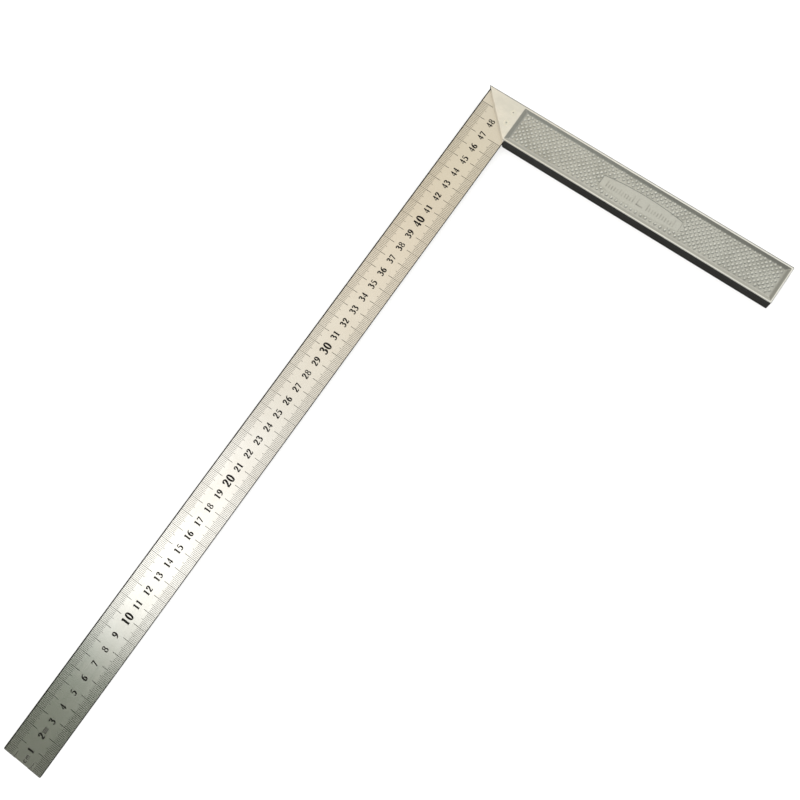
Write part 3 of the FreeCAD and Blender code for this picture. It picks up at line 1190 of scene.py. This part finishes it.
class RULER_OT_stage(RulerOperator, bpy.types.Operator):
    """Set the pale floor, the soft light and the camera"""

    bl_idname = "square_ruler.stage"
    bl_label = "Stage"

    def execute(self, context):
        stage = context.scene.ruler_stage
        add_floor(stage)
        add_lights(stage)
        add_surroundings(stage)
        add_camera(stage)
        context.scene.view_settings.view_transform = "Standard"
        return {"FINISHED"}


def finish_node(name, material):
    """Gives a CAD node a better material, in the slots that it has."""
    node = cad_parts[name]
    if not node.material_slots:
        node.data.materials.append(material)
    for slot in node.material_slots:
        slot.material = material


def flat_sheet(name, corners, material):
    mesh = bpy.data.meshes.new(name)
    mesh.from_pydata(corners, [], [tuple(range(len(corners)))])
    mesh.materials.append(material)
    sheet = add_piece(name, mesh)
    return sheet


def add_floor(stage):
    """The floor is tilted to run from the stock's inner lower edge to the underside of the blade's free end,
    where a tipped square would touch.
    """
    pivot_x = STOCK_HIGH.x
    slope = BLADE_LOW.z / (BLADE_HIGH.x - pivot_x)
    corners = [
        (x, y, (x - pivot_x) * slope)
        for x, y in (
            (-FLOOR_REACH, -FLOOR_REACH), (FLOOR_REACH, -FLOOR_REACH),
            (FLOOR_REACH, FLOOR_REACH), (-FLOOR_REACH, FLOOR_REACH),
        )
    ]
    flat_sheet("floor", corners, floor_material(stage.floor))


def add_lights(stage):
    """A soft key lights the floor and the ink; the metal mirrors a graded card overhead."""
    key = bpy.data.objects.new("key", bpy.data.lights.new("key", "AREA"))
    key.data.shape = "DISK"
    key.data.size = LAMP_SIZE
    key.data.energy = stage.key_power
    key.location = LAMP_PLACE
    key.rotation_euler = (Vector(LAMP_AIM) - key.location).to_track_quat("-Z", "Y").to_euler()
    key.visible_glossy = False
    bpy.context.scene.collection.objects.link(key)
    blade_stops = [
        (-1.6, (0.66, 0.62, 0.54)), (-0.6, (0.88, 0.83, 0.74)), (-0.38, (0.89, 0.80, 0.61)),
        (-0.15, (1.02, 0.90, 0.72)), (0.05, (1.12, 1.05, 0.91)), (0.20, (1.08, 1.04, 0.95)),
        (0.34, (1.58, 1.57, 1.53)), (0.615, (1.88, 1.88, 1.84)), (0.655, (0.44, 0.51, 0.43)),
        (0.70, (0.07, 0.13, 0.07)), (0.80, (0.155, 0.195, 0.14)), (0.92, (0.195, 0.19, 0.165)),
        (1.3, (0.15, 0.16, 0.14)),
    ]
    stock_stops = [
        (-1.6, (0.82, 0.80, 0.72)), (-0.4, (1.10, 1.09, 1.00)), (0.0, (1.02, 1.01, 0.94)),
        (0.25, (0.24, 0.24, 0.21)), (1.3, (0.10, 0.10, 0.09)),
    ]
    low_x, high_x = blade_stops[0][0], blade_stops[-1][0]
    corners = [
        (x, y, CARD_HEIGHT) for x, y in (
            (low_x, CARD_HIGH_Y), (high_x, CARD_HIGH_Y), (high_x, CARD_LOW_Y), (low_x, CARD_LOW_Y),
        )
    ]
    card = flat_sheet("overhead_card", corners, card_material(blade_stops, stock_stops))
    card.visible_camera = False
    card.visible_diffuse = False
    card.visible_shadow = False


def add_surroundings(stage):
    """Pale all round for the eye, and a dim room for what the metal mirrors."""
    world = bpy.data.worlds.new("surroundings")
    bpy.context.scene.world = world
    world.use_nodes = True
    net = Net(world.node_tree)
    background = world.node_tree.nodes["Background"]
    direction = net.add("ShaderNodeTexCoord").outputs["Generated"]
    x, y, z = net.xyz(direction)
    low_down = net.ramp(z, 0.22, 0.50, 0.62, 0.28)
    dim = net.times(low_down, net.ramp(z, -0.05, 0.08, 0.55, 1.0))
    beside = net.times(
        net.ramp(x, -0.85, -0.5, 1.0, 0.0), net.ramp(net.math("ABSOLUTE", y), 0.4, 0.65, 1.0, 0.0)
    )
    beside = net.times(beside, net.ramp(z, 0.02, 0.12))
    room = net.join_xyz(dim, dim, net.times(dim, 0.93))
    mirrored = net.blend(beside, room, (0.98, 0.95, 0.87, 1.0))
    path = net.add("ShaderNodeLightPath")
    pale = (stage.sky, stage.sky, stage.sky, 1.0)
    seen = net.blend(path.outputs["Is Glossy Ray"], pale, mirrored)
    net.feed(background.inputs["Color"], net.blend(
        path.outputs["Is Camera Ray"], seen, (1.0, 1.0, 1.0, 1.0)
    ))


def add_camera(stage):
    camera = bpy.data.objects.new("camera", bpy.data.cameras.new("camera"))
    camera.data.sensor_width = 36.0
    camera.data.lens = stage.lens
    camera.data.dof.use_dof = False
    camera.location = CAMERA_PLACE
    camera.rotation_euler = [math.radians(angle) for angle in CAMERA_ANGLES]
    bpy.context.scene.collection.objects.link(camera)
    bpy.context.scene.camera = camera


# ---- panel and registration ---------------------------------------------------------------

OPERATORS = (
    RULER_OT_effects, RULER_OT_blade, RULER_OT_stock, RULER_OT_rivets, RULER_OT_scale_marks,
    RULER_OT_numerals, RULER_OT_unit_marks, RULER_OT_grip_dots, RULER_OT_plate_relief, RULER_OT_stage,
)


class RULER_PT_square(bpy.types.Panel):
    """Lists the ruler's pieces and settings"""

    bl_idname = "RULER_PT_square"
    bl_label = "Steel square ruler"
    bl_space_type = "VIEW_3D"
    bl_region_type = "UI"
    bl_category = "Square ruler"

    def draw(self, context):
        column = self.layout.column()
        for operator in OPERATORS:
            column.operator(operator.bl_idname)
        for name, group in SETTINGS.items():
            column.separator()
            for label in group.__annotations__:
                column.prop(getattr(context.scene, name), label)


CLASSES = (*SETTINGS.values(), *OPERATORS, RULER_PT_square)


def register():
    for item in CLASSES:
        bpy.utils.register_class(item)
    for name, group in SETTINGS.items():
        setattr(bpy.types.Scene, name, PointerProperty(type=group))


def unregister():
    for name in SETTINGS:
        delattr(bpy.types.Scene, name)
    for item in reversed(CLASSES):
        bpy.utils.unregister_class(item)


def main():
    register()
    for operator in OPERATORS:
        family, name = operator.bl_idname.split(".")
        getattr(getattr(bpy.ops, family), name)()


if __name__ == "__main__":
    main()
